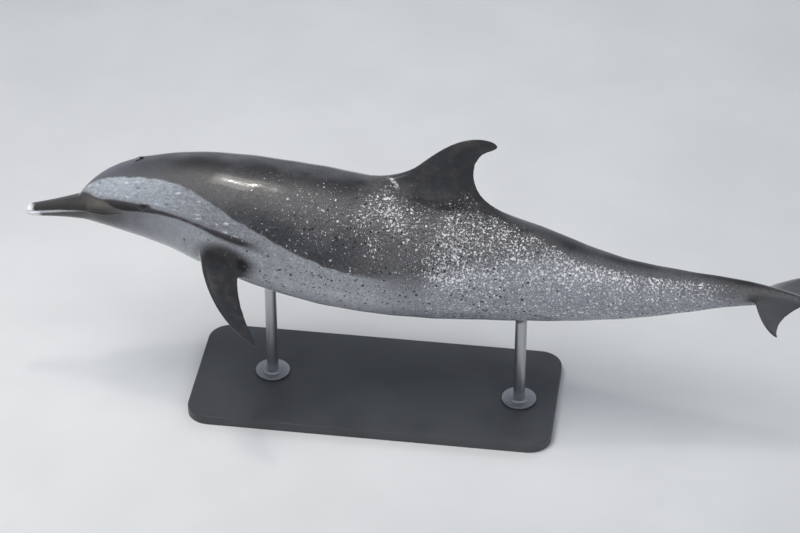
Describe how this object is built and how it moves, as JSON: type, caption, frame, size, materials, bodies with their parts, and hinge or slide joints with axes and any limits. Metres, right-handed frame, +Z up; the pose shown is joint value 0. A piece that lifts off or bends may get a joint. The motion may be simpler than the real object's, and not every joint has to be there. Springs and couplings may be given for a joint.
{
  "type": "pantropical spotted dolphin model",
  "caption": "Still, life-size model of a pantropical spotted dolphin surfacing, banked a little to one side, held over a flat base by upright rods.",
  "frame": {"origin": "centre of the underside of the stand's base, on the floor", "axes": "+Z up; the beak points to -X and the flukes to +X; the left flank faces -Y"},
  "size_m": [2.0614, 0.5056, 0.7638],
  "materials": {
    "skin": "smooth wet skin: dark cape, light grey flank and cheek, pale specks and dark spots",
    "eye": "polished dark brown eyeball",
    "stand_paint": "satin dark grey paint on a flat plate",
    "stand_steel": "brushed round rod and turned collars"
  },
  "bodies": {
    "root": {"beak_upper": "skin", "beak_lower": "skin", "head": "skin", "neck": "skin", "chest": "skin", "trunk": "skin", "loin": "skin", "tail_stock": "skin", "fluke_root": "skin", "dorsal_fin": "skin", "flipper_left": "skin", "flipper_right": "skin", "fluke_left": "skin", "fluke_right": "skin", "eye_left": "eye", "eye_right": "eye", "stand_base": "stand_paint", "stand_rod_front": "stand_steel", "stand_rod_rear": "stand_steel", "stand_collar_front": "stand_steel", "stand_collar_rear": "stand_steel"}
  },
  "joints": []
}
